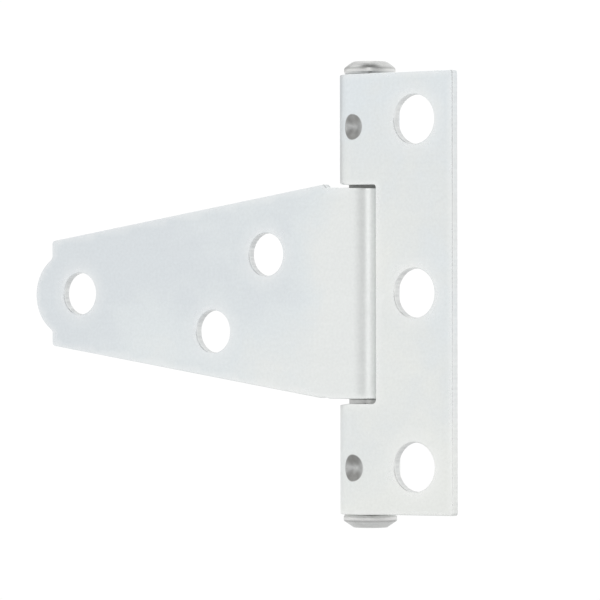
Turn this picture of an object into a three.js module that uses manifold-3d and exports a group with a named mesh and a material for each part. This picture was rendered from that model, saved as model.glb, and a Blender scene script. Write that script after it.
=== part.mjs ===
// T hinge in zinc-plated sheet steel: a short upright butt leaf, a long tapered
// strap leaf and the headed pin that joins them.
//
// Frame, in millimetres: +Z runs along the pin, +X points from the pin to the
// butt leaf, and both leaves lie open with their flush faces in the plane y = 0,
// facing -Y. The rolled knuckles stand on the +Y side. The origin is on the butt
// leaf's flush face at mid height, between the knuckle notch and the middle hole.

import * as THREE from 'three';
import { mergeVertices } from 'three/addons/utils/BufferGeometryUtils.js';
import Module from 'manifold-3d';

// ---- driving dimensions ----------------------------------------------------

const SHEET = 1.05;              // thickness of both leaves
const KNUCKLE_R = 3.65;          // outer radius of the rolled knuckles
const PIN_FROM_ORIGIN = 4.9;     // from the origin to the pin's axis, along -X
const CURL_SWEEP = 310;          // degrees of sheet wrapped round the pin
const CURL_STEPS = 62;           // facets along the curl

const BUTT_HEIGHT = 53.1;        // of the upright leaf and its two knuckles
const BUTT_REACH = 15.0;         // pin axis to the free edge
const BUTT_CORNER_R = 0.35;      // the free edge's corners
const BUTT_SAG = [               // reach, how far the lower edge hangs below square
  [1.0, 0.22],
  [4.5, 0.11],
];
const NOTCH_TOP = 13.12;         // the opening for the strap's knuckle
const NOTCH_BOTTOM = -13.33;
const NOTCH_REACH = 3.55;        // pin axis to the notch's edge
const NOTCH_TOP_R = 0.35;        // fillets in the notch's two inner corners
const NOTCH_BOTTOM_R = 0.6;
const BUTT_HOLE_R = 2.985;
const BUTT_HOLE_REACH = 9.27;    // pin axis to the column of holes
const BUTT_HOLE_Z = [20.85, 0, -20.85];

const STRAP_LENGTH = 50.65;      // pin axis to the tip
const STRAP_RISE = 0.24;         // strap's middle line above the knuckle's middle
const STRAP_WIDE = 26.1;         // width beside the knuckle
const STRAP_WIDE_REACH = 4.35;
const STRAP_NARROW = 13.3;       // width at the shoulders
const SHOULDER_REACH = 47.95;
const SHOULDER_CORNER_R = 0.45;
const TIP_R = 5.2;
const TIP_DROP = 0.19;           // the tip's centre below the strap's middle line
const TIP_TOP_FILLET_R = 0.8;    // concave, between the shoulders and the tip
const TIP_BOTTOM_FILLET_R = 0.6;
const STRAP_KNUCKLE_TOP = 12.72; // at the far side of the roll
const STRAP_KNUCKLE_ROOT = 12.88; // where the roll leaves the strap
const STRAP_KNUCKLE_BOTTOM = -12.76;
const STRAP_HOLE_R = 2.65;
const STRAP_HOLES = [            // reach from the pin axis, height
  [13.3, 4.85],
  [21.65, -4.6],
  [43.37, 0.2],
];

const BORE_R = KNUCKLE_R - SHEET;
const PIN_R = BORE_R - 0.05;     // running clearance in the knuckles
const TOP_HEAD_R = 3.15;
const BOTTOM_HEAD_R = 3.27;
const HEAD_FLAT_R = 2.05;
const HEAD_SEAT = 26.95;         // from the pin's middle to the head's underside
const HEAD_RIM = 0.52;           // straight rim under the chamfer
const HEAD_END = 28.3;
const PIN_DROP = 0.1;            // the pin's middle hangs this far below mid height

const STAKE_R = 1.6;             // conical stakes in the butt knuckles
const STAKE_DEPTH = 0.8;
const STAKE_Z = [20.15, -21.1];

const HOLE_FACETS = 48;
const PIN_FACETS = 48;

// ---- solids ----------------------------------------------------------------

const wasm = await Module();
wasm.setup();

function solid(geometry) {
  const g = geometry.clone();
  g.deleteAttribute('normal');
  g.deleteAttribute('uv');
  const merged = mergeVertices(g, 1e-5);
  return new wasm.Manifold(new wasm.Mesh({
    numProp: 3,
    vertProperties: new Float32Array(merged.attributes.position.array),
    triVerts: new Uint32Array(merged.index.array),
  }));
}

function geometryOf(manifold) {
  const mesh = manifold.getMesh();
  const g = new THREE.BufferGeometry();
  g.setAttribute('position', new THREE.BufferAttribute(new Float32Array(mesh.vertProperties), 3));
  g.setIndex(new THREE.BufferAttribute(new Uint32Array(mesh.triVerts), 1));
  g.computeVertexNormals();
  return g;
}

function shapeOf(points) {
  return new THREE.Shape(points.map(([x, y]) => new THREE.Vector2(x, y)));
}

// a section in X and Y, standing from z = low to z = high
function standing(points, low, high) {
  return new THREE.ExtrudeGeometry(shapeOf(points), { depth: high - low, bevelEnabled: false })
    .translate(0, 0, low);
}

// an outline in X and Z, running from y = front to y = back
function lying(points, front, back) {
  return new THREE.ExtrudeGeometry(shapeOf(points), { depth: back - front, bevelEnabled: false })
    .rotateX(Math.PI / 2)
    .translate(0, back, 0);
}

// a straight bar along Y, for punching a round hole through the sheet
function punch(radius, x, z) {
  return new THREE.CylinderGeometry(radius, radius, 6, HOLE_FACETS)
    .translate(x, -KNUCKLE_R, z);
}

function arc(cx, cy, radius, from, to, steps) {
  const points = [];
  for (let i = 0; i <= steps; i++) {
    const a = THREE.MathUtils.degToRad(from + (to - from) * i / steps);
    points.push([cx + radius * Math.cos(a), cy + radius * Math.sin(a)]);
  }
  return points;
}

// The section of a leaf that reaches to +X from a knuckle rolled round the
// origin: flush face, outside of the roll, its cut end, inside, inner face.
function rolledSection(reach) {
  const end = -90 - CURL_SWEEP;
  return [
    [reach, -KNUCKLE_R],
    ...arc(0, 0, KNUCKLE_R, -90, end, CURL_STEPS),
    ...arc(0, 0, BORE_R, end, -90, CURL_STEPS),
    [reach, -BORE_R],
  ];
}

// ---- butt leaf -------------------------------------------------------------

function buttLeaf() {
  const half = BUTT_HEIGHT / 2;
  const r = BUTT_CORNER_R;
  const blank = [
    [-KNUCKLE_R - 1, -half - BUTT_SAG[0][1]],
    ...BUTT_SAG.map(([reach, sag]) => [reach, -half - sag]),
    ...arc(BUTT_REACH - r, -half + r, r, -90, 0, 6),
    ...arc(BUTT_REACH - r, half - r, r, 0, 90, 6),
    [-KNUCKLE_R - 1, half],
  ];
  let leaf = solid(standing(rolledSection(BUTT_REACH + 1), -half - 1, half + 1))
    .intersect(solid(lying(blank, -KNUCKLE_R - 1, KNUCKLE_R + 1)));
  // the notch is cut from the flat sheet with filleted corners, and behind the
  // sheet it takes away the whole roll
  const clear = KNUCKLE_R + 1;
  const notch = [
    [-clear, NOTCH_BOTTOM],
    ...arc(NOTCH_REACH - NOTCH_BOTTOM_R, NOTCH_BOTTOM + NOTCH_BOTTOM_R, NOTCH_BOTTOM_R, -90, 0, 6),
    ...arc(NOTCH_REACH - NOTCH_TOP_R, NOTCH_TOP - NOTCH_TOP_R, NOTCH_TOP_R, 0, 90, 6),
    [-clear, NOTCH_TOP],
  ];
  const behind = [[-clear, -BORE_R], [clear, -BORE_R], [clear, clear], [-clear, clear]];
  leaf = leaf.subtract(solid(lying(notch, -clear, -BORE_R + 0.1)));
  leaf = leaf.subtract(solid(standing(behind, NOTCH_BOTTOM, NOTCH_TOP)));
  for (const z of BUTT_HOLE_Z) leaf = leaf.subtract(solid(punch(BUTT_HOLE_R, BUTT_HOLE_REACH, z)));
  for (const z of STAKE_Z) {
    // the cone starts clear of the flush face and narrows to its point
    const rim = STAKE_R * (STAKE_DEPTH + 0.4) / STAKE_DEPTH;
    const cone = new THREE.ConeGeometry(rim, STAKE_DEPTH + 0.4, 32)
      .translate(0, -KNUCKLE_R + STAKE_DEPTH - (STAKE_DEPTH + 0.4) / 2, z);
    leaf = leaf.subtract(solid(cone));
  }
  return leaf;
}

// ---- strap leaf ------------------------------------------------------------

function strapOutline() {
  const mid = STRAP_RISE;
  const wide = STRAP_WIDE / 2;
  const narrow = STRAP_NARROW / 2;
  const centre = STRAP_LENGTH - TIP_R;      // reach of the tip's centre
  const tipMid = mid - TIP_DROP;
  // a concave fillet's centre, tangent to a shoulder and to the round tip
  const fillet = (radius) => {
    const fx = SHOULDER_REACH + radius;
    const fz = Math.sqrt((TIP_R + radius) ** 2 - (fx - centre) ** 2);
    return [fx, fz, THREE.MathUtils.radToDeg(Math.atan2(fz, fx - centre))];
  };
  const [topX, topZ, topTurn] = fillet(TIP_TOP_FILLET_R);
  const [lowX, lowZ, lowTurn] = fillet(TIP_BOTTOM_FILLET_R);
  const slope = Math.atan2(wide - narrow, SHOULDER_REACH - STRAP_WIDE_REACH);
  const r = SHOULDER_CORNER_R;
  // the rounded outer corner of the shoulder
  const cornerX = SHOULDER_REACH - r;
  const cornerZ = narrow - r / Math.cos(slope) + (SHOULDER_REACH - cornerX) * Math.tan(slope);
  const lean = THREE.MathUtils.radToDeg(slope);
  const upper = [
    [-KNUCKLE_R - 1, STRAP_KNUCKLE_TOP],
    [0, STRAP_KNUCKLE_TOP + 0.06],
    [2.4, STRAP_KNUCKLE_ROOT],
    [3.95, STRAP_KNUCKLE_ROOT],
    [STRAP_WIDE_REACH, mid + wide],
    ...arc(cornerX, mid + cornerZ, r, 90 - lean, 0, 6),
    ...arc(topX, tipMid + topZ, TIP_TOP_FILLET_R, 180, 180 + topTurn, 6),
    ...arc(centre, tipMid, TIP_R, topTurn, 0, 20),
  ];
  const lower = [
    ...arc(centre, tipMid, TIP_R, 0, -lowTurn, 20).slice(1),
    ...arc(lowX, tipMid - lowZ, TIP_BOTTOM_FILLET_R, 180 - lowTurn, 180, 6),
    ...arc(cornerX, mid - cornerZ, r, 0, lean - 90, 6),
    [STRAP_WIDE_REACH + 0.45, mid - wide + 0.06],
    [STRAP_WIDE_REACH + 0.25, STRAP_KNUCKLE_BOTTOM + 0.18],
    [3.95, STRAP_KNUCKLE_BOTTOM + 0.16],
    [3.5, STRAP_KNUCKLE_BOTTOM],
    [-KNUCKLE_R - 1, STRAP_KNUCKLE_BOTTOM],
  ];
  return [...upper, ...lower];
}

// Made reaching to +X like the butt leaf, then mirrored across the pin.
function strapLeaf() {
  const mirror = (points) => points.map(([x, y]) => [-x, y]);
  const tall = STRAP_WIDE / 2 + STRAP_RISE + 1;
  let leaf = solid(standing(mirror(rolledSection(STRAP_LENGTH + 1)), -tall, tall))
    .intersect(solid(lying(mirror(strapOutline()), -KNUCKLE_R - 1, KNUCKLE_R + 1)));
  for (const [reach, z] of STRAP_HOLES) leaf = leaf.subtract(solid(punch(STRAP_HOLE_R, -reach, z)));
  return leaf;
}

// ---- pin -------------------------------------------------------------------

function hingePin() {
  const profile = [
    [0, -HEAD_END],
    [HEAD_FLAT_R, -HEAD_END],
    [BOTTOM_HEAD_R, -HEAD_SEAT - HEAD_RIM],
    [BOTTOM_HEAD_R, -HEAD_SEAT],
    [PIN_R, -HEAD_SEAT],
    [PIN_R, HEAD_SEAT],
    [TOP_HEAD_R, HEAD_SEAT],
    [TOP_HEAD_R, HEAD_SEAT + HEAD_RIM],
    [HEAD_FLAT_R, HEAD_END],
    [0, HEAD_END],
  ].map(([r, z]) => new THREE.Vector2(r, z));
  return solid(new THREE.LatheGeometry(profile, PIN_FACETS).rotateX(Math.PI / 2).translate(0, 0, -PIN_DROP));
}

// ---- assembly --------------------------------------------------------------

const zinc = (color, roughness) => new THREE.MeshStandardMaterial({ color, roughness, metalness: 0.85 });

function piece(name, manifold, material) {
  const mesh = new THREE.Mesh(geometryOf(manifold), material);
  mesh.name = name;
  mesh.position.set(-PIN_FROM_ORIGIN, KNUCKLE_R, 0);
  return mesh;
}

const hinge = new THREE.Group();
hinge.name = 't_hinge';
hinge.add(piece('butt_leaf', buttLeaf(), zinc(0xdfe3e3, 0.38)));
hinge.add(piece('strap_leaf', strapLeaf(), zinc(0xdde3e5, 0.38)));
hinge.add(piece('hinge_pin', hingePin(), zinc(0xa9adad, 0.3)));

export default hinge;
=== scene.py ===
"""T hinge: fine sheet-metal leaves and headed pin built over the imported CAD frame."""
import math

import bpy
import bmesh
import numpy as np
from mathutils import Matrix, Vector
from mathutils.geometry import delaunay_2d_cdt


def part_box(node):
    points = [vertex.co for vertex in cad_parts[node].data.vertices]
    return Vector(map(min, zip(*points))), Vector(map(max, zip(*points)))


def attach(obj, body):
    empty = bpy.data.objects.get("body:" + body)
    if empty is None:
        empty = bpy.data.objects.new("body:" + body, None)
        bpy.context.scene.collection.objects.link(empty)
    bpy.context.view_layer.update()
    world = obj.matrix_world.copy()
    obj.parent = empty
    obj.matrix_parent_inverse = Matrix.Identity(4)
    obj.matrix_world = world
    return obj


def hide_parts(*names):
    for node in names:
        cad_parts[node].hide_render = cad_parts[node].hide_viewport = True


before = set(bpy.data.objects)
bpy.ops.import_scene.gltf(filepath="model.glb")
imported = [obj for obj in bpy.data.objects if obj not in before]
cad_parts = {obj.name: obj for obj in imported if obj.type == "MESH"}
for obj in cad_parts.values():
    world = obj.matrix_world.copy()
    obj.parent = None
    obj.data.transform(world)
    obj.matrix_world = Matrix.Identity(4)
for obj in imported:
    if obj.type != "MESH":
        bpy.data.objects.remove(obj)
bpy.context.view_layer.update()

MM = 0.001

# ---------------------------------------------------------------- sizes, in mm
pin_lo, pin_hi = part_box("hinge_pin")
butt_lo, butt_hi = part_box("butt_leaf")
strap_lo, strap_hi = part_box("strap_leaf")
AXIS_X = (pin_lo.x + pin_hi.x) / 2 / MM          # the pin's axis
AXIS_Y = (pin_lo.y + pin_hi.y) / 2 / MM
R = (butt_hi.y - butt_lo.y) / 2 / MM             # outside of the rolled knuckles
T = 1.05                                         # sheet
RM = R - T / 2                                   # middle of the sheet in the roll
SWEEP = math.radians(310)
BUTT_H = butt_hi.z / MM                          # half height
BUTT_X = butt_hi.x / MM - AXIS_X                 # pin axis to the free edge
NOTCH_TOP, NOTCH_BOTTOM, NOTCH_X = 13.12, -13.33, 3.55
NOTCH_TOP_R, NOTCH_BOTTOM_R = 0.35, 0.6
BUTT_HOLES = [(9.27, z, 2.985) for z in (20.85, 0.0, -20.85)]
STAKES = [(20.15, 1.55), (-21.1, 1.62)]
STAKE_DEPTH = 0.8
STRAP_X = AXIS_X - strap_lo.x / MM               # pin axis to the tip
STRAP_TOP = strap_hi.z / MM
STRAP_BOTTOM = strap_lo.z / MM
STRAP_MID = (STRAP_TOP + STRAP_BOTTOM) / 2
STRAP_WIDE = (STRAP_TOP - STRAP_BOTTOM) / 2      # half width beside the knuckle
STRAP_NARROW = 6.65                              # half width at the shoulders
WIDE_X, SHOULDER_X = 4.35, 47.95
TIP_R, TIP_DROP, CORNER_R = 5.2, 0.19, 0.45
TIP_TOP_FILLET, TIP_BOTTOM_FILLET = 0.8, 0.6
STRAP_HOLES = [(13.3, 4.85, 2.65), (21.65, -4.6, 2.65), (43.37, 0.2, 2.65)]
PIN_R, HEAD_FLAT_R = 2.55, 2.05
TOP_HEAD_R, BOTTOM_HEAD_R = 3.15, (pin_hi.x - pin_lo.x) / 2 / MM
PIN_MID = (pin_lo.z + pin_hi.z) / 2 / MM         # the pin hangs a little low
HEAD_SEAT, HEAD_RIM, HEAD_END = 26.95, 0.52, (pin_hi.z - pin_lo.z) / 2 / MM
BUTT_SAG = 0.22                                  # the lower knuckle's end hangs below square
COLLAR_STEP = 0.13                               # the collar under each head is this much smaller


# ---------------------------------------------------------------- outlines
def arc(cx, cy, r, a0, a1, n):
    return [(cx + r * math.cos(math.radians(a0 + (a1 - a0) * i / n)),
             cy + r * math.sin(math.radians(a0 + (a1 - a0) * i / n))) for i in range(n + 1)]


def clean(points, tiny=1e-4):
    out = []
    for p in points:
        if not out or math.dist(out[-1], p) > tiny:
            out.append(p)
    if math.dist(out[0], out[-1]) < tiny:
        out.pop()
    return out


def rounded(corners, n=5):
    """A closed loop from (x, y, radius) corners."""
    pts = []
    m = len(corners)
    for i, (x, y, r) in enumerate(corners):
        if r <= 0:
            pts.append((x, y))
            continue
        p = Vector((x, y))
        a = Vector(corners[i - 1][:2]) - p
        b = Vector(corners[(i + 1) % m][:2]) - p
        a.normalize(); b.normalize()
        half = a.angle(b) / 2
        if half > math.radians(88):
            pts.append((x, y))
            continue
        run = r / math.tan(half)
        centre = p + (a + b).normalized() * (r / math.sin(half))
        s = p + a * run - centre
        e = p + b * run - centre
        a0 = math.atan2(s.y, s.x)
        turn = math.atan2(e.y, e.x) - a0
        turn = (turn + math.pi) % (2 * math.pi) - math.pi
        for k in range(n + 1):
            t = a0 + turn * k / n
            pts.append((centre.x + r * math.cos(t), centre.y + r * math.sin(t)))
    return clean(pts)


def fine(points):
    """Splits long edges: closely along the roll, loosely on the flat."""
    out = []
    m = len(points)
    for i in range(m):
        (x0, y0), (x1, y1) = points[i], points[(i + 1) % m]
        step = 1.1 if min(x0, x1) >= -1e-6 else (0.2 if abs(x1 - x0) > abs(y1 - y0) else 0.8)
        if min(x0, x1) < 0 < max(x0, x1):      # an edge that crosses the start of the roll
            k = -x0 / (x1 - x0)
            mid = (0.0, y0 + (y1 - y0) * k)
            for (ax, ay), (bx, by) in (((x0, y0), mid), (mid, (x1, y1))):
                s = 1.1 if min(ax, bx) >= -1e-6 else 0.2
                n = max(1, math.ceil(math.dist((ax, ay), (bx, by)) / s))
                out += [(ax + (bx - ax) * j / n, ay + (by - ay) * j / n) for j in range(n)]
            continue
        n = max(1, math.ceil(math.dist((x0, y0), (x1, y1)) / step))
        out += [(x0 + (x1 - x0) * j / n, y0 + (y1 - y0) * j / n) for j in range(n)]
    return clean(out)


def area(p):
    p = np.asarray(p)
    q = np.roll(p, -1, 0)
    return 0.5 * float(np.sum(p[:, 0] * q[:, 1] - q[:, 0] * p[:, 1]))


def inset(p, d):
    """Every vertex of a loop moved by d into the sheet. Outer loops run anticlockwise and holes clockwise."""
    p = np.asarray(p, float)
    e = np.roll(p, -1, 0) - p
    e /= np.linalg.norm(e, axis=1)[:, None]
    n = np.c_[-e[:, 1], e[:, 0]]
    m = n + np.roll(n, 1, 0)
    m /= np.maximum(np.linalg.norm(m, axis=1), 1e-9)[:, None]
    k = np.clip(np.sum(m * n, 1), 0.6, 1.0)
    return p + m * (d / k)[:, None]


def inside(loop, q):
    """Even-odd test of points q against one loop."""
    p = np.asarray(loop, float)
    a, b = p, np.roll(p, -1, 0)
    hit = np.zeros(len(q), bool)
    for (x0, y0), (x1, y1) in zip(a, b):
        c = (y0 > q[:, 1]) != (y1 > q[:, 1])
        if abs(y1 - y0) > 1e-12:
            c &= q[:, 0] < (x1 - x0) * (q[:, 1] - y0) / (y1 - y0) + x0
            hit ^= c
    return hit


def clearance(loops, q):
    """Distance from points q to the nearest loop edge."""
    best = np.full(len(q), 1e9)
    for loop in loops:
        p = np.asarray(loop, float)
        a, b = p, np.roll(p, -1, 0)
        d = b - a
        ll = np.maximum((d ** 2).sum(1), 1e-12)
        for i in range(len(p)):
            t = np.clip(((q - a[i]) @ d[i]) / ll[i], 0, 1)
            best = np.minimum(best, np.linalg.norm(q - (a[i] + t[:, None] * d[i]), axis=1))
    return best


# ---------------------------------------------------------------- sheet metal
def lattice(u0, u1, v0, v1):
    """Interior points: close columns along the roll, a looser grid on the flat."""
    pts = []
    du = RM * math.radians(3.0)
    rows = max(2, round((v1 - v0) / 0.85))
    k = 0
    while -k * du > u0:
        pts += [(-k * du, v0 + (v1 - v0) * j / rows) for j in range(rows + 1)]
        k += 1
    cols = max(2, round(u1 / 0.95))
    pts += [(u1 * i / cols, v0 + (v1 - v0) * j / rows) for i in range(1, cols + 1) for j in range(rows + 1)]
    return pts


def triangulate(loops, q):
    verts, edges = [], []
    spans = []
    for loop in loops:
        s = len(verts)
        verts += [Vector((float(p[0]), float(p[1]))) for p in loop]
        edges += [(s + i, s + (i + 1) % len(loop)) for i in range(len(loop))]
        spans.append((s, len(loop)))
    verts += [Vector((float(p[0]), float(p[1]))) for p in q]
    got = delaunay_2d_cdt(verts, edges, [], 0, 1e-7)
    out_v = np.array([(v.x, v.y) for v in got[0]])
    faces = np.array([f for f in got[2]])
    origin = got[3]
    where = {}
    for i, o in enumerate(origin):
        for k in o:
            where[k] = i
    centre = out_v[faces].mean(1)
    ok = inside(loops[0], centre)
    for h in loops[1:]:
        ok &= ~inside(h, centre)
    faces = faces[ok]
    a, b, c = (out_v[faces[:, i]] for i in range(3))
    turn = (b - a)[:, 0] * (c - a)[:, 1] - (b - a)[:, 1] * (c - a)[:, 0]
    # slivers along a straight edge lie outside the loop, whatever the centroid test says
    rim = np.zeros(len(out_v), bool)
    for start, count in spans:
        for i in range(count):
            rim[where[start + i]] = True
    longest = np.maximum(np.maximum(np.linalg.norm(b - a, axis=1), np.linalg.norm(c - b, axis=1)), np.linalg.norm(a - c, axis=1))
    keep = ~(rim[faces].all(1) & (np.abs(turn) / longest < 2e-4))
    faces, turn = faces[keep], turn[keep]
    faces[turn < 0] = faces[turn < 0][:, ::-1]
    index = [[where[s + i] for i in range(n)] for s, n in spans]
    return out_v, faces, index


class Sheet:
    """One leaf: a flat blank with holes, eased edges and a rolled end, as vertices (u, v, w)."""

    def __init__(self):
        self.uvw, self.faces, self.wear, self.cut, self.stake, self.stake_shade = [], [], [], [], [], []

    def add(self, u, v, w, wear=0.0, cut=0.0, stake=0.0, stake_shade=0.0):
        self.uvw.append((u, v, w)); self.wear.append(wear); self.cut.append(cut); self.stake.append(stake); self.stake_shade.append(stake_shade)
        return len(self.uvw) - 1


# (distance in from the edge, depth from the flush face, wear, cut): from flat, over
# the punched roll-over, down the sheared wall, to the burr side's crisp edge
def edge_profile(roll, dish, wall_out, torn):
    pts = []
    if dish:
        for d, k in ((1.15, 0.0), (0.85, 0.12), (0.62, 0.34), (0.44, 0.66), (0.32, 0.86)):
            pts.append((d + roll * 0.6, dish * k, 0.25 + 0.5 * k, 0.0))
    base = dish
    n = 6
    for i in range(n + 1):
        a = math.pi / 2 * i / n
        pts.append((roll * (1 - math.sin(a)), base + roll * (1 - math.cos(a)), 0.8 + 0.2 * i / n, 0.0 if i < n - 1 else 0.4 * torn))
    w0 = base + roll
    pts.append((0.0, w0 + (T - w0) * 0.3, 0.3, torn))
    pts.append((-wall_out * 0.3, w0 + (T - w0) * 0.55, 0.1, torn))
    pts.append((-wall_out, T - 0.05, 0.3, torn))
    pts.append((-wall_out + 0.015, T - 0.018, 0.9, 0.5 * torn))
    pts.append((0.045, T, 1.0, 0.1))
    pts.append((0.11, T, 0.5, 0.0))
    return pts


def build_sheet(outer, holes, stakes=(), seed=0):
    s = Sheet()
    outer = fine(outer)
    if area(outer) < 0:
        outer = outer[::-1]
    loops = [outer]
    for x, z, r in holes:
        loops.append([(x + r * math.cos(-2 * math.pi * i / 96), z + r * math.sin(-2 * math.pi * i / 96)) for i in range(96)])
    front, back = [], []
    for li, loop in enumerate(loops):
        prof = edge_profile(0.12, 0.0, 0.0, 0.4) if li == 0 else edge_profile(0.13, 0.04, 0.03, 1.0)
        rings = []
        for d, w, wear, cut in prof:
            p = inset(loop, d)
            rings.append([s.add(x, y, w, wear, cut) for x, y in p])
        for a, b in zip(rings, rings[1:]):
            n = len(a)
            for i in range(n):
                j = (i + 1) % n
                # outer runs anticlockwise: the wall faces out
                s.faces.append((a[i], a[j], b[j], b[i])[::-1])
        front.append((rings[0], [s.uvw[k][:2] for k in rings[0]]))
        back.append((rings[-1], [s.uvw[k][:2] for k in rings[-1]]))
    us = [p[0] for p in outer]
    vs = [p[1] for p in outer]
    grid = lattice(min(us), max(us), min(vs), max(vs))
    for side, w in ((front, 0.0), (back, T)):
        q = np.array(grid, float)
        ok = inside(side[0][1], q)
        for _, h in side[1:]:
            ok &= ~inside(h, q)
        q = q[ok]
        q = q[clearance([l for _, l in side], q) > np.where(q[:, 0] < 0.3, 0.13, 0.45)]
        marks = {}
        if w == 0.0:
            for z0, rim in stakes:
                q = q[np.hypot(q[:, 0], q[:, 1] - z0) > rim * 1.32]
                new = [(0.0, z0)]
                tags = [(1.0, STAKE_DEPTH * 0.78, 0.2)]
                for k in range(64):
                    th = 2 * math.pi * k / 64
                    cx, cz = math.cos(th), math.sin(th)
                    # how far the cone runs before it leaves the rolled surface
                    lo, hi = 0.05, rim
                    if cx < 0:
                        for _ in range(40):
                            m = (lo + hi) / 2
                            x = m * cx
                            surf = R - math.sqrt(R * R - x * x)
                            if STAKE_DEPTH * (1 - m / rim) > surf:
                                lo = m
                            else:
                                hi = m
                        reach = (lo + hi) / 2
                    else:
                        reach = rim
                    for f in (0.1, 0.2, 0.34, 0.5, 0.66, 0.8, 0.9, 0.96, 1.0, 1.05, 1.13, 1.24):
                        rho = reach * f
                        x = rho * cx
                        u = x if x >= 0 else -RM * math.asin(min(1, -x / R))
                        new.append((u, z0 + rho * cz))
                        depth = STAKE_DEPTH * (1 - rho / rim)
                        if f < 0.45:
                            depth = STAKE_DEPTH * (1 - 0.5 * reach / rim * (0.45 + f * f / 0.45))
                        if f == 0.96:
                            depth *= 0.93
                        # the third tag is painted shade, strongest on the stake's upper and lower walls
                        tags.append((1.0 if f < 0.99 else (0.55 if f < 1.01 else 0.0), max(depth, 0.0) if f < 0.99 else 0.0,
                                     max(0.0, min(1.0, (abs(cz) - 0.3) / 0.5)) * min(1.0, f / 0.5) if f < 1.01 else 0.0))
                for p, t in zip(new, tags):
                    marks[(round(p[0], 4), round(p[1], 4))] = t
                q = np.vstack([q, new])
        pts, tris, index = triangulate([l for _, l in side], q)
        ids = {}
        for (ring, _), idx in zip(side, index):
            for r_id, k in zip(ring, idx):
                ids[k] = r_id
        marked, tags, used = np.array(list(marks) or [(1e9, 1e9)]), list(marks.values()), 0
        for k in range(len(pts)):
            if k not in ids:
                u, v = pts[k]
                away = np.hypot(marked[:, 0] - float(u), marked[:, 1] - float(v))
                near = int(away.argmin())
                t = tags[near] if away[near] < 3e-4 else None
                used += t is not None
                ids[k] = s.add(float(u), float(v), w, 0.0, 0.0, t[0] if t else 0.0, t[2] if t else 0.0)
                if t and t[1] > 0:
                    s.uvw[-1] = (float(u), float(v), ("stake", t[1]))
        if used != len(marks):
            raise ValueError("stake points lost: %d of %d found" % (used, len(marks)))
        for f in tris:
            a, b, c = (ids[int(k)] for k in f)
            s.faces.append((a, c, b)[::-1] if w == 0.0 else (a, c, b))
    return s


def place(u, v, w, drawn=False):
    """From the blank to the rolled leaf, reaching to +X, about the pin's axis."""
    stake = None
    if isinstance(w, tuple):
        stake, w = w[1], 0.0
    if u >= 0:
        x, y = u, -R + w
    else:
        phi = -u / RM
        x, y = -(R - w) * math.sin(phi), -(R - w) * math.cos(phi)
        if drawn:
            # rolling draws the barrels' ends back from the notch, most near the edge
            k = min(1.0, phi / 0.85)
            k = k * k * (3 - 2 * k)
            for edge, way in ((NOTCH_TOP, 1.0), (NOTCH_BOTTOM, -1.0)):
                off = (v - edge) * way
                if off >= -0.01:
                    v += way * 0.17 * k * max(0.0, 1 - off / 3.0) ** 2
    if stake is not None:
        y = max(y, -R + stake)
    return x, y, v


def to_object(name, s, mirror):
    co = []
    for u, v, w in s.uvw:
        x, y, z = place(u, v, w, not mirror)
        co.append(((AXIS_X + (-x if mirror else x)) * MM, (AXIS_Y + y) * MM, z * MM))
    faces = [tuple(f) for f in s.faces]
    if mirror:
        faces = [f[::-1] for f in faces]
    mesh = bpy.data.meshes.new(name)
    mesh.from_pydata(co, [], faces)
    for attr, values in (("wear", s.wear), ("cut", s.cut), ("stake", s.stake), ("stake_shade", s.stake_shade)):
        a = mesh.attributes.new(attr, "FLOAT", "POINT")
        a.data.foreach_set("value", values)
    bm = bmesh.new()
    bm.from_mesh(mesh)
    bmesh.ops.remove_doubles(bm, verts=bm.verts, dist=2e-7)
    bmesh.ops.dissolve_degenerate(bm, edges=bm.edges, dist=1e-7)
    bmesh.ops.recalc_face_normals(bm, faces=bm.faces)
    open_edges = sum(1 for e in bm.edges if len(e.link_faces) != 2)
    volume = bm.calc_volume(signed=True)
    if volume < 0:
        bmesh.ops.reverse_faces(bm, faces=bm.faces)
    print("PIECE", name, "verts", len(bm.verts), "faces", len(bm.faces), "edges not shared by two faces", open_edges, "volume mm3", round(abs(volume) * 1e9, 1))
    bm.to_mesh(mesh)
    bm.free()
    mesh.polygons.foreach_set("use_smooth", [True] * len(mesh.polygons))
    ob = bpy.data.objects.new(name, mesh)
    bpy.context.scene.collection.objects.link(ob)
    mod = ob.modifiers.new("weighted_normals", "WEIGHTED_NORMAL")
    mod.weight = 50
    mod.keep_sharp = True
    return ob


def roll_x(u):
    """Where a point of the blank lies along X once rolled."""
    return u if u >= 0 else -RM * math.sin(-u / RM)


def butt_outline():
    end = -SWEEP * RM
    return rounded([
        (end, -BUTT_H - BUTT_SAG, 0.25), (1.0, -BUTT_H - BUTT_SAG, 20.0), (4.5, -BUTT_H - BUTT_SAG / 2, 20.0), (BUTT_X, -BUTT_H, 0.35), (BUTT_X, BUTT_H, 0.35), (end, BUTT_H, 0.25),
        (end, NOTCH_TOP, 0.25), (NOTCH_X, NOTCH_TOP, NOTCH_TOP_R), (NOTCH_X, NOTCH_BOTTOM, NOTCH_BOTTOM_R), (end, NOTCH_BOTTOM, 0.25),
    ], 8)


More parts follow.
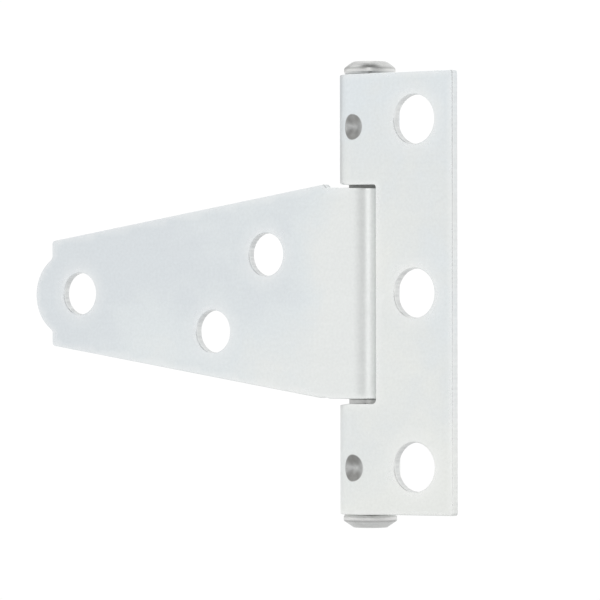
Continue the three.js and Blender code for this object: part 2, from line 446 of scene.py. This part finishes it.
def strap_outline():
    end = -SWEEP * RM
    n = 100

    def top(x):
        if x < 0:
            return 12.72 + 0.06 * (x + R + 1) / (R + 1)
        return 12.78 + 0.10 * min(x, 2.4) / 2.4

    # along the roll, top edge from its cut end to the flat
    up = [(end * (1 - i / n), top(roll_x(end * (1 - i / n)))) for i in range(n + 1)]
    centre = STRAP_X - TIP_R

    def fillet(radius):
        fx = SHOULDER_X + radius
        fz = math.sqrt((TIP_R + radius) ** 2 - (fx - centre) ** 2)
        return fx, fz, math.degrees(math.atan2(fz, fx - centre))

    top_x, top_z, top_turn = fillet(TIP_TOP_FILLET)
    low_x, low_z, low_turn = fillet(TIP_BOTTOM_FILLET)
    slope = math.atan2(STRAP_WIDE - STRAP_NARROW, SHOULDER_X - WIDE_X)
    lean = math.degrees(slope)
    r = CORNER_R
    cx = SHOULDER_X - r
    cz = STRAP_NARROW - r / math.cos(slope) + (SHOULDER_X - cx) * math.tan(slope)
    mid = STRAP_MID
    tip = mid - TIP_DROP
    pts = up[1:]
    pts += rounded_path([(1.2, top(1.2), 0), (2.4, 12.88, 0.6), (3.9, 12.88, 0.16), (WIDE_X, mid + STRAP_WIDE, 0.2),
                         (WIDE_X + 2, mid + STRAP_WIDE - 2 * math.tan(slope), 0)])
    pts += arc(cx, mid + cz, r, 90 - lean, 0, 7)
    pts += arc(top_x, tip + top_z, TIP_TOP_FILLET, 180, 180 + top_turn, 9)
    pts += arc(centre, tip, TIP_R, top_turn, -low_turn, 64)
    pts += arc(low_x, tip - low_z, TIP_BOTTOM_FILLET, 180 - low_turn, 180, 8)
    pts += arc(cx, mid - cz, r, 0, lean - 90, 7)
    low = -12.76
    pts += rounded_path([(WIDE_X + 2.5, mid - STRAP_WIDE + 2.5 * math.tan(slope), 0), (WIDE_X + 0.5, mid - STRAP_WIDE + 0.07, 0.2),
                         (WIDE_X + 0.15, low + 0.17, 0.16), (3.95, low + 0.16, 0.2), (3.5, low, 0.25), (2.4, low, 0)])
    pts += [(end + 0.25, low), (end + 0.07, low + 0.07), (end, low + 0.25)]
    first = up[0][1]
    pts += [(end, first - 0.25), (end + 0.07, first - 0.07)]
    return clean([p for p in pts])


def rounded_path(corners, n=4):
    """An open path through (x, y, radius) corners; its ends are kept."""
    pts = [corners[0][:2]]
    for i in range(1, len(corners) - 1):
        x, y, r = corners[i]
        if r <= 0:
            pts.append((x, y)); continue
        p = Vector((x, y))
        a = Vector(corners[i - 1][:2]) - p
        b = Vector(corners[i + 1][:2]) - p
        la, lb = a.length, b.length
        a.normalize(); b.normalize()
        half = a.angle(b) / 2
        run = min(r / math.tan(half), la * 0.45, lb * 0.45)
        rr = run * math.tan(half)
        if half > math.radians(88.5):
            pts.append((x, y)); continue
        centre = p + (a + b).normalized() * (rr / math.sin(half))
        s = p + a * run - centre
        e = p + b * run - centre
        a0 = math.atan2(s.y, s.x)
        turn = (math.atan2(e.y, e.x) - a0 + math.pi) % (2 * math.pi) - math.pi
        pts += [(centre.x + rr * math.cos(a0 + turn * k / n), centre.y + rr * math.sin(a0 + turn * k / n)) for k in range(n + 1)]
    pts.append(corners[-1][:2])
    return pts


# ---------------------------------------------------------------- pin
def pin_profile(knuckle, head_r):
    """(radius, height) from the pin's middle to one end, with a collar that stops just short of the knuckle."""
    def ease(corner, before, after, r, n=5):
        p, a, b = Vector(corner), Vector(before), Vector(after)
        a = (a - p).normalized(); b = (b - p).normalized()
        half = a.angle(b) / 2
        run = r / math.tan(half)
        c = p + (a + b).normalized() * (r / math.sin(half))
        s, e = p + a * run - c, p + b * run - c
        a0 = math.atan2(s.y, s.x)
        turn = (math.atan2(e.y, e.x) - a0 + math.pi) % (2 * math.pi) - math.pi
        return [(c.x + r * math.cos(a0 + turn * k / n), c.y + r * math.sin(a0 + turn * k / n)) for k in range(n + 1)]
    seat, rim, end = HEAD_SEAT, HEAD_SEAT + HEAD_RIM, HEAD_END
    foot, collar = knuckle + 0.02, head_r - COLLAR_STEP
    path = [(PIN_R, z) for z in np.linspace(0, 12.2, 12)]
    path += [(PIN_R, z) for z in np.linspace(12.4, 13.8, 15)]
    path += [(PIN_R, z) for z in np.linspace(14.6, foot - 0.3, 12)]
    path += [(PIN_R, foot - 0.05), (PIN_R + 0.05, foot), (collar - 0.14, foot), (collar - 0.04, foot + 0.03), (collar, foot + 0.1)]
    k = seat + 0.06 - (foot + 0.1)
    path += [(collar + 0.02, foot + 0.1 + k * 0.3), (collar + 0.06, foot + 0.1 + k * 0.6)]
    path += ease((head_r, seat + 0.06), (collar + 0.06, foot + 0.1 + k * 0.6), (head_r, rim), 0.1)
    path += ease((head_r, rim), (head_r, seat), (HEAD_FLAT_R, end), 0.24)
    full = 0.08 if head_r == TOP_HEAD_R else 0.0
    path += [(head_r + (HEAD_FLAT_R - head_r) * k + 4 * full * k * (1 - k), rim + (end - rim) * k) for k in (0.2, 0.35, 0.5, 0.65, 0.8)]
    path += ease((HEAD_FLAT_R, end), (head_r, rim), (0, end), 0.22)
    path += [(1.55, end), (1.3, end - 0.012), (1.0, end - 0.03), (0.7, end - 0.042), (0.35, end - 0.05)]
    return path


def build_pin():
    low, high = pin_profile(BUTT_H + BUTT_SAG + PIN_MID, BOTTOM_HEAD_R), pin_profile(BUTT_H - PIN_MID, TOP_HEAD_R)
    prof = [(r, PIN_MID - z) for r, z in low[:0:-1]] + [(r, PIN_MID + z) for r, z in high]
    n = 128
    co, faces, wear, grime = [], [], [], []
    for r, z in prof:
        up = z - PIN_MID
        # painted shade: the pin is darkened where it shows in the gaps between the knuckles, most just under the
        # strap's knuckle, and in a thin line where each head's rim turns into its chamfer
        ring_shade = 0.0
        if 12.6 < z < 13.25:
            ring_shade = 0.74
        elif -13.45 < z < -12.6:
            ring_shade = 0.85 if z > -12.88 else 0.2
        elif abs(abs(up) - HEAD_SEAT - HEAD_RIM) < 0.1 and r > 2.8:
            ring_shade = 0.25
        for k in range(n):
            a = 2 * math.pi * k / n
            # formed heads are never quite true: a slow lobing that only takes metal away
            lobe = 0.0
            if abs(up) > HEAD_SEAT - 0.01 and r > 0.5:
                lobe = 0.012 * (1 + math.sin(3 * a + (1.3 if z > 0 else 4.0))) + 0.006 * (1 + math.sin(7 * a + 0.4 * z))
            rr = r - lobe
            co.append(((AXIS_X + rr * math.cos(a)) * MM, (AXIS_Y + rr * math.sin(a)) * MM, z * MM))
            edge = 0.0
            if abs(abs(up) - HEAD_END) < 0.08 and r > 1.8:
                edge = 1.0
            elif abs(abs(up) - HEAD_SEAT - HEAD_RIM) < 0.12:
                edge = 0.2
            wear.append(edge)
            grime.append(ring_shade)
    for i in range(len(prof) - 1):
        for k in range(n):
            j = (k + 1) % n
            faces.append((i * n + k, i * n + j, (i + 1) * n + j, (i + 1) * n + k))
    for end_ring, z, flip in ((0, prof[0][1] + 0.004, True), (len(prof) - 1, prof[-1][1] - 0.004, False)):
        co.append((AXIS_X * MM, AXIS_Y * MM, z * MM)); wear.append(0.0); grime.append(0.0)
        c = len(co) - 1
        for k in range(n):
            j = (k + 1) % n
            f = (end_ring * n + k, end_ring * n + j, c)
            faces.append(f[::-1] if flip else f)
    mesh = bpy.data.meshes.new("pin_fine")
    mesh.from_pydata(co, [], faces)
    for attr, values in (("wear", wear), ("grime", grime)):
        a = mesh.attributes.new(attr, "FLOAT", "POINT")
        a.data.foreach_set("value", values)
    bm = bmesh.new(); bm.from_mesh(mesh)
    bmesh.ops.recalc_face_normals(bm, faces=bm.faces)
    if bm.calc_volume(signed=True) < 0:
        bmesh.ops.reverse_faces(bm, faces=bm.faces)
    print("PIECE pin_fine verts", len(bm.verts), "open", sum(1 for e in bm.edges if len(e.link_faces) != 2))
    bm.to_mesh(mesh); bm.free()
    mesh.polygons.foreach_set("use_smooth", [True] * len(mesh.polygons))
    ob = bpy.data.objects.new("pin_fine", mesh)
    bpy.context.scene.collection.objects.link(ob)
    mod = ob.modifiers.new("weighted_normals", "WEIGHTED_NORMAL")
    mod.weight = 50
    return ob


# ---------------------------------------------------------------- materials
class Nodes:
    def __init__(self, tree):
        self.t = tree
        self.t.nodes.clear()

    def new(self, kind, **sets):
        n = self.t.nodes.new(kind)
        for k, v in sets.items():
            if k.startswith("in_"):
                key = k[3:]
                n.inputs[int(key) if key.isdigit() else key.replace("_", " ")].default_value = v
            else:
                setattr(n, k, v)
        return n

    def link(self, a, b):
        self.t.links.new(a, b)

    def math(self, op, a, b=None, c=None, clamp=False):
        n = self.t.nodes.new("ShaderNodeMath")
        n.operation = op
        n.use_clamp = clamp
        for i, v in enumerate((a, b, c)):
            if v is None:
                continue
            if isinstance(v, (int, float)):
                n.inputs[i].default_value = v
            else:
                self.link(v, n.inputs[i])
        return n.outputs[0]

    def mix(self, fac, a, b, blend="MIX"):
        n = self.t.nodes.new("ShaderNodeMix")
        n.data_type = "RGBA"
        n.blend_type = blend
        for key, v in ((0, fac), (6, a), (7, b)):
            if isinstance(v, (int, float)):
                n.inputs[key].default_value = v
            elif isinstance(v, tuple):
                n.inputs[key].default_value = (*v, 1.0) if len(v) == 3 else v
            else:
                self.link(v, n.inputs[key])
        return n.outputs[2]

    def ramp(self, fac, stops, mode="EASE"):
        n = self.t.nodes.new("ShaderNodeValToRGB")
        n.color_ramp.interpolation = mode
        els = n.color_ramp.elements
        while len(els) > 1:
            els.remove(els[-1])
        els[0].position, els[0].color = stops[0][0], (*stops[0][1], 1) if isinstance(stops[0][1], tuple) else (stops[0][1],) * 3 + (1,)
        for pos, col in stops[1:]:
            e = els.new(pos)
            e.color = (*col, 1) if isinstance(col, tuple) else (col, col, col, 1)
        self.link(fac, n.inputs[0])
        return n.outputs[0]

    def coords(self, scale=(1, 1, 1), shift=(0, 0, 0)):
        c = self.new("ShaderNodeTexCoord")
        m = self.new("ShaderNodeMapping")
        m.inputs["Scale"].default_value = scale
        m.inputs["Location"].default_value = shift
        self.link(c.outputs["Object"], m.inputs["Vector"])
        return m.outputs[0]

    def noise(self, vec, scale, detail=3.0, rough=0.5, distort=0.0):
        n = self.new("ShaderNodeTexNoise")
        n.inputs["Scale"].default_value = scale
        n.inputs["Detail"].default_value = detail
        n.inputs["Roughness"].default_value = rough
        n.inputs["Distortion"].default_value = distort
        self.link(vec, n.inputs["Vector"])
        return n.outputs["Fac"]

    def attr(self, name):
        n = self.new("ShaderNodeAttribute")
        n.attribute_name = name
        return n.outputs["Fac"]


def zinc_sheet(name, cool, neutral, warm, shift, shade_slope):
    mat = bpy.data.materials.new(name)
    mat.use_nodes = True
    n = Nodes(mat.node_tree)
    out = n.new("ShaderNodeOutputMaterial")
    p = n.new("ShaderNodeBsdfPrincipled")
    n.link(p.outputs[0], out.inputs[0])
    p.inputs["Metallic"].default_value = 1.0
    p.inputs["Specular IOR Level"].default_value = 0.5

    # slow drifts of tint in the plating, and clouded patches a few millimetres across
    drift = n.noise(n.coords(shift=shift), 38.0, 1.0, 0.45, 0.3)
    cloud = n.noise(n.coords(shift=(shift[1], shift[0], shift[2])), 210.0, 3.0, 0.55, 0.6)
    tint = n.math("ADD", n.math("MULTIPLY", drift, 0.72), n.math("MULTIPLY", cloud, 0.30))
    side = n.new("ShaderNodeSeparateXYZ")
    n.link(n.coords(), side.inputs[0])
    # painted light and shade: a straight slope in X and Z pushes the plating's tint, so each leaf runs darker and
    # cooler towards the top, the strap also towards its tip
    run = n.math("MULTIPLY_ADD", side.outputs[0], shade_slope[0], shade_slope[2])
    run = n.math("ADD", run, n.math("MULTIPLY", side.outputs[2], shade_slope[1]))
    tint = n.math("ADD", tint, run)
    colour = n.ramp(tint, [(0.36, cool), (0.52, neutral), (0.68, warm)], "LINEAR")
    # fine crystal of the plate
    grain = n.noise(n.coords(), 2600.0, 2.0, 0.6)
    speck = n.ramp(grain, [(0.3, 0.965), (0.7, 1.02)], "LINEAR")
    colour = n.mix(1.0, colour, speck, "MULTIPLY")
    # rolling streaks along the sheet
    streak = n.noise(n.coords(scale=(45, 500, 900)), 1.0, 1.5, 0.5)
    streak_c = n.ramp(streak, [(0.3, 0.992), (0.7, 1.006)], "LINEAR")
    colour = n.mix(1.0, colour, streak_c, "MULTIPLY")
    # handling marks: a few thin dull scratches
    scratch = n.new("ShaderNodeTexNoise")
    scratch.inputs["Scale"].default_value = 1.0
    scratch.inputs["Detail"].default_value = 1.0
    rot = n.new("ShaderNodeMapping")
    rot.inputs["Rotation"].default_value = (0, math.radians(31), 0)
    n.link(n.coords(), rot.inputs["Vector"])
    longways = n.new("ShaderNodeMapping")
    longways.inputs["Scale"].default_value = (110, 500, 2400)
    n.link(rot.outputs[0], longways.inputs["Vector"])
    n.link(longways.outputs[0], scratch.inputs["Vector"])
    scr = n.ramp(scratch.outputs["Fac"], [(0.70, 0.0), (0.76, 1.0)], "LINEAR")

    wear = n.attr("wear")
    cut = n.attr("cut")
    stake = n.attr("stake")
    breakup = n.noise(n.coords(), 900.0, 3.0, 0.6)
    worn = n.math("MULTIPLY", wear, n.ramp(breakup, [(0.35, 0.6), (0.65, 1.0)], "LINEAR"), clamp=True)
    colour = n.mix(n.math("MULTIPLY", worn, 0.55), colour, (0.90, 0.905, 0.90))
    colour = n.mix(n.math("MULTIPLY", scr, 0.06), colour, (0.62, 0.64, 0.65))
    # sheared walls: thin plate over torn steel, with vertical drag lines
    drag = n.noise(n.coords(scale=(2600, 120, 2600)), 1.0, 2.0, 0.5)
    torn = n.ramp(drag, [(0.3, (0.64, 0.65, 0.65)), (0.7, (0.82, 0.83, 0.82))], "LINEAR")
    colour = n.mix(n.math("MULTIPLY", cut, 0.85), colour, torn)
    # stakes: plate cracked off where the punch went in
    bare = n.ramp(breakup, [(0.3, (0.42, 0.425, 0.42)), (0.7, (0.55, 0.555, 0.55))], "LINEAR")
    # painted shade: the stakes' upper and lower walls are darkened, a painted dark reflection; the left and right walls
    # keep the bare steel
    stake_shade = n.math("MULTIPLY", n.attr("stake_shade"), n.ramp(breakup, [(0.3, 1.0), (0.75, 0.7)], "LINEAR"))
    bare = n.mix(stake_shade, bare, (0.215, 0.21, 0.20))
    colour = n.mix(n.math("MULTIPLY", stake, 0.9), colour, bare)
    n.link(colour, p.inputs["Base Color"])

    rough = n.math("ADD", 0.235, n.math("MULTIPLY", cloud, 0.10))
    rough = n.math("ADD", rough, n.math("MULTIPLY", streak, 0.04))
    rough = n.math("ADD", rough, n.math("MULTIPLY", scr, 0.05))
    rough = n.math("ADD", rough, n.math("MULTIPLY", cut, 0.16))
    rough = n.math("ADD", rough, n.math("MULTIPLY", stake, 0.09))
    rough = n.math("SUBTRACT", rough, n.math("MULTIPLY", worn, 0.05), clamp=True)
    n.link(rough, p.inputs["Roughness"])

    height = n.math("ADD", n.math("MULTIPLY", grain, 0.35), n.math("MULTIPLY", streak, 0.25))
    height = n.math("ADD", height, n.math("MULTIPLY", n.math("MULTIPLY", drag, cut), 2.2))
    height = n.math("SUBTRACT", height, n.math("MULTIPLY", scr, 0.2))
    bump = n.new("ShaderNodeBump")
    bump.inputs["Strength"].default_value = 0.25
    bump.inputs["Distance"].default_value = 0.000012
    n.link(height, bump.inputs["Height"])
    n.link(bump.outputs[0], p.inputs["Normal"])
    return mat


def plated_pin(name):
    mat = bpy.data.materials.new(name)
    mat.use_nodes = True
    n = Nodes(mat.node_tree)
    out = n.new("ShaderNodeOutputMaterial")
    p = n.new("ShaderNodeBsdfPrincipled")
    n.link(p.outputs[0], out.inputs[0])
    p.inputs["Metallic"].default_value = 1.0
    cloud = n.noise(n.coords(), 420.0, 3.0, 0.55, 0.4)
    colour = n.ramp(cloud, [(0.3, (0.56, 0.565, 0.555)), (0.7, (0.68, 0.685, 0.675))], "LINEAR")
    # rings left by forming the heads
    c = n.new("ShaderNodeTexCoord")
    m = n.new("ShaderNodeMapping")
    m.inputs["Location"].default_value = (-AXIS_X * MM, -AXIS_Y * MM, 0)
    n.link(c.outputs["Object"], m.inputs["Vector"])
    s = n.new("ShaderNodeSeparateXYZ")
    n.link(m.outputs[0], s.inputs[0])
    rad = n.math("SQRT", n.math("ADD", n.math("POWER", s.outputs[0], 2.0), n.math("POWER", s.outputs[1], 2.0)))
    comb = n.new("ShaderNodeCombineXYZ")
    n.link(n.math("MULTIPLY", rad, 9000.0), comb.inputs[0])
    n.link(n.math("MULTIPLY", s.outputs[2], 5200.0), comb.inputs[1])
    rings = n.noise(comb.outputs[0], 1.0, 2.0, 0.5)
    fine_n = n.noise(n.coords(), 3200.0, 2.0, 0.6)
    colour = n.mix(1.0, colour, n.ramp(rings, [(0.3, 0.93), (0.7, 1.04)], "LINEAR"), "MULTIPLY")
    wear = n.attr("wear")
    breakup = n.noise(n.coords(), 1100.0, 3.0, 0.6)
    worn = n.math("MULTIPLY", wear, n.ramp(breakup, [(0.36, 0.2), (0.62, 1.0)], "LINEAR"), clamp=True)
    colour = n.mix(n.math("MULTIPLY", worn, 0.45), colour, (0.80, 0.80, 0.79))
    # painted light: the heads' sides and the collars under them are painted a lighter, rougher metal, a painted light
    # band over the collar's shade
    side = n.math("GREATER_THAN", rad, 0.00296)
    off = n.math("ABSOLUTE", n.math("ADD", s.outputs[2], -PIN_MID * MM))
    side = n.math("MULTIPLY", side, n.math("LESS_THAN", off, 0.0273))
    colour = n.mix(n.math("MULTIPLY", side, 0.6), colour, (0.82, 0.82, 0.81))
    # painted shade: a dark colour on the pin in the knuckle gaps and at the heads' rim tops
    grime = n.math("MULTIPLY", n.attr("grime"), n.ramp(breakup, [(0.25, 0.8), (0.6, 1.0)], "LINEAR"))
    colour = n.mix(grime, colour, (0.13, 0.13, 0.125))
    n.link(colour, p.inputs["Base Color"])
    rough = n.math("ADD", 0.17, n.math("MULTIPLY", cloud, 0.12))
    rough = n.math("ADD", rough, n.math("MULTIPLY", grime, 0.25))
    rough = n.math("ADD", rough, n.math("MULTIPLY", side, 0.14))
    rough = n.math("ADD", rough, n.math("MULTIPLY", rings, 0.06), clamp=True)
    n.link(rough, p.inputs["Roughness"])
    height = n.math("ADD", n.math("MULTIPLY", rings, 0.8), n.math("MULTIPLY", fine_n, 0.4))
    height = n.math("ADD", height, n.math("MULTIPLY", cloud, 2.0))
    bump = n.new("ShaderNodeBump")
    bump.inputs["Strength"].default_value = 0.3
    bump.inputs["Distance"].default_value = 0.00002
    n.link(height, bump.inputs["Height"])
    n.link(bump.outputs[0], p.inputs["Normal"])
    return mat


# ---------------------------------------------------------------- pieces
butt = to_object("butt_leaf_fine", build_sheet(butt_outline(), BUTT_HOLES, STAKES), False)
strap = to_object("strap_leaf_fine", build_sheet(strap_outline(), STRAP_HOLES), True)
pin = build_pin()

butt.data.materials.append(zinc_sheet("zinc_butt", (0.757, 0.800, 0.822), (0.774, 0.800, 0.796), (0.822, 0.838, 0.812), (0.013, 0.031, 0.007), (-1.5, -9.0, 0.02)))
strap.data.materials.append(zinc_sheet("zinc_strap", (0.708, 0.746, 0.770), (0.757, 0.796, 0.808), (0.802, 0.822, 0.812), (0.051, 0.017, 0.023), (11.0, -3.8, 0.283)))
pin.data.materials.append(plated_pin("plated_pin"))

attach(butt, "butt"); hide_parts("butt_leaf")
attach(strap, "strap"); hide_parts("strap_leaf")
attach(pin, "butt"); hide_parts("hinge_pin")


# ---------------------------------------------------------------- studio
FLOOR_Z = -0.046
bm = bmesh.new()
rings, spokes, radius = 24, 96, 3.0
centre = bm.verts.new((0, 0, FLOOR_Z))
prev = None
for i in range(1, rings + 1):
    r = radius * (i / rings) ** 2
    ring = [bm.verts.new((r * math.cos(2 * math.pi * k / spokes), r * math.sin(2 * math.pi * k / spokes), FLOOR_Z)) for k in range(spokes)]
    for k in range(spokes):
        j = (k + 1) % spokes
        bm.faces.new((centre, ring[k], ring[j]) if prev is None else (prev[k], ring[k], ring[j], prev[j]))
    prev = ring
mesh = bpy.data.meshes.new("floor")
bm.to_mesh(mesh); bm.free()
floor = bpy.data.objects.new("floor", mesh)
bpy.context.scene.collection.objects.link(floor)
fm = bpy.data.materials.new("pale_floor")
fm.use_nodes = True
n = Nodes(fm.node_tree)
out = n.new("ShaderNodeOutputMaterial")
diff = n.new("ShaderNodeBsdfDiffuse")
diff.inputs["Color"].default_value = (0.86, 0.865, 0.87, 1)
glow = n.new("ShaderNodeEmission")
glow.inputs["Color"].default_value = (1.0, 1.0, 1.0, 1)
glow.inputs["Strength"].default_value = 1.02
mixer = n.new("ShaderNodeMixShader")
sep = n.new("ShaderNodeSeparateXYZ")
n.link(n.coords(), sep.inputs[0])
rad = n.math("SQRT", n.math("ADD", n.math("POWER", sep.outputs[0], 2.0), n.math("POWER", sep.outputs[1], 2.0)))
fade = n.new("ShaderNodeMapRange")
fade.interpolation_type = "SMOOTHERSTEP"
fade.inputs["From Min"].default_value = 0.05
fade.inputs["From Max"].default_value = 0.15
fade.inputs["To Min"].default_value = 0.4
n.link(rad, fade.inputs["Value"])
n.link(fade.outputs[0], mixer.inputs[0])
n.link(diff.outputs[0], mixer.inputs[1])
n.link(glow.outputs[0], mixer.inputs[2])
n.link(mixer.outputs[0], out.inputs[0])
floor.data.materials.append(fm)

# a white room with soft, slightly uneven walls: brightness by bearing and by height
world = bpy.data.worlds.new("studio")
bpy.context.scene.world = world
world.use_nodes = True
n = Nodes(world.node_tree)
out = n.new("ShaderNodeOutputWorld")
bg = n.new("ShaderNodeBackground")
c = n.new("ShaderNodeTexCoord")
s = n.new("ShaderNodeSeparateXYZ")
n.link(c.outputs["Generated"], s.inputs[0])
# bearing from -Y towards +X, as 0..1 over -180..180 degrees
bearing = n.math("ARCTAN2", s.outputs[0], n.math("MULTIPLY", s.outputs[1], -1.0))
bearing = n.math("MULTIPLY_ADD", bearing, 1 / (2 * math.pi), 0.5)


def at(deg):
    return (deg + 180) / 360


wall = n.ramp(bearing, [(0.0, 1.0), (at(-135), 1.0), (at(-120), 0.60), (at(-104), 0.62), (at(-90), 0.88), (at(-60), 0.957), (at(-34), 0.973), (at(-18), 0.87),
                        (at(-4), 0.65), (at(6), 0.51), (at(15), 0.45), (at(21), 0.66), (at(25), 1.48), (at(32), 1.48), (at(40), 0.78), (at(48), 0.62),
                        (at(58), 0.40), (at(90), 0.5), (at(115), 0.92), (at(150), 1.0), (1.0, 1.0)], "LINEAR")
height = n.ramp(n.math("MULTIPLY_ADD", s.outputs[2], 0.5, 0.5), [(0.0, 1.0), (0.5, 1.0), (0.91, 1.0), (0.952, 0.85), (0.972, 0.34), (1.0, 0.26)], "EASE")
light = n.mix(1.0, wall, height, "MULTIPLY")
# a dark flag high in front
lean = n.new("ShaderNodeVectorMath", operation="DOT_PRODUCT")
n.link(c.outputs["Generated"], lean.inputs[0])
lean.inputs[1].default_value = (-0.530, 0.180, 0.829)
flag = n.ramp(lean.outputs["Value"], [(0.88, 1.0), (0.96, 1.5)], "EASE")
light = n.mix(1.0, light, flag, "MULTIPLY")
n.link(light, bg.inputs["Color"])
bg.inputs["Strength"].default_value = 1.03
# straight behind the object the room is plain white
plain = n.new("ShaderNodeBackground")
plain.inputs["Color"].default_value = (1.0, 1.0, 1.0, 1)
plain.inputs["Strength"].default_value = 1.03
seen = n.new("ShaderNodeLightPath")
pick = n.new("ShaderNodeMixShader")
n.link(seen.outputs["Is Camera Ray"], pick.inputs[0])
n.link(bg.outputs[0], pick.inputs[1])
n.link(plain.outputs[0], pick.inputs[2])
n.link(pick.outputs[0], out.inputs[0])

# ---------------------------------------------------------------- camera
def camera():
    """The viewing direction, with its distances taken about the pin's axis."""
    data = bpy.data.cameras.new("camera")
    data.sensor_fit = "HORIZONTAL"
    data.sensor_width = 36.0
    data.lens = 4500.0 / 600.0 * 36.0
    data.clip_start, data.clip_end = 0.01, 20.0
    ob = bpy.data.objects.new("camera", data)
    right = Vector((0.78978003, 0.61338872, -0.00133592))
    up = Vector((0.0043647, -0.00344195, 0.99998455))
    fwd = Vector((-0.61337465, 0.78977366, 0.00539564))
    rot = Matrix((right, up, -fwd)).transposed()
    ob.matrix_world = Matrix.Translation(Vector((AXIS_X + 328.805, AXIS_Y - 437.259, -3.7156)) * MM) @ rot.to_4x4()
    bpy.context.scene.collection.objects.link(ob)
    bpy.context.scene.camera = ob
    return ob


camera()
bpy.context.scene.view_settings.view_transform = "Standard"
bpy.context.scene.view_settings.look = "None"
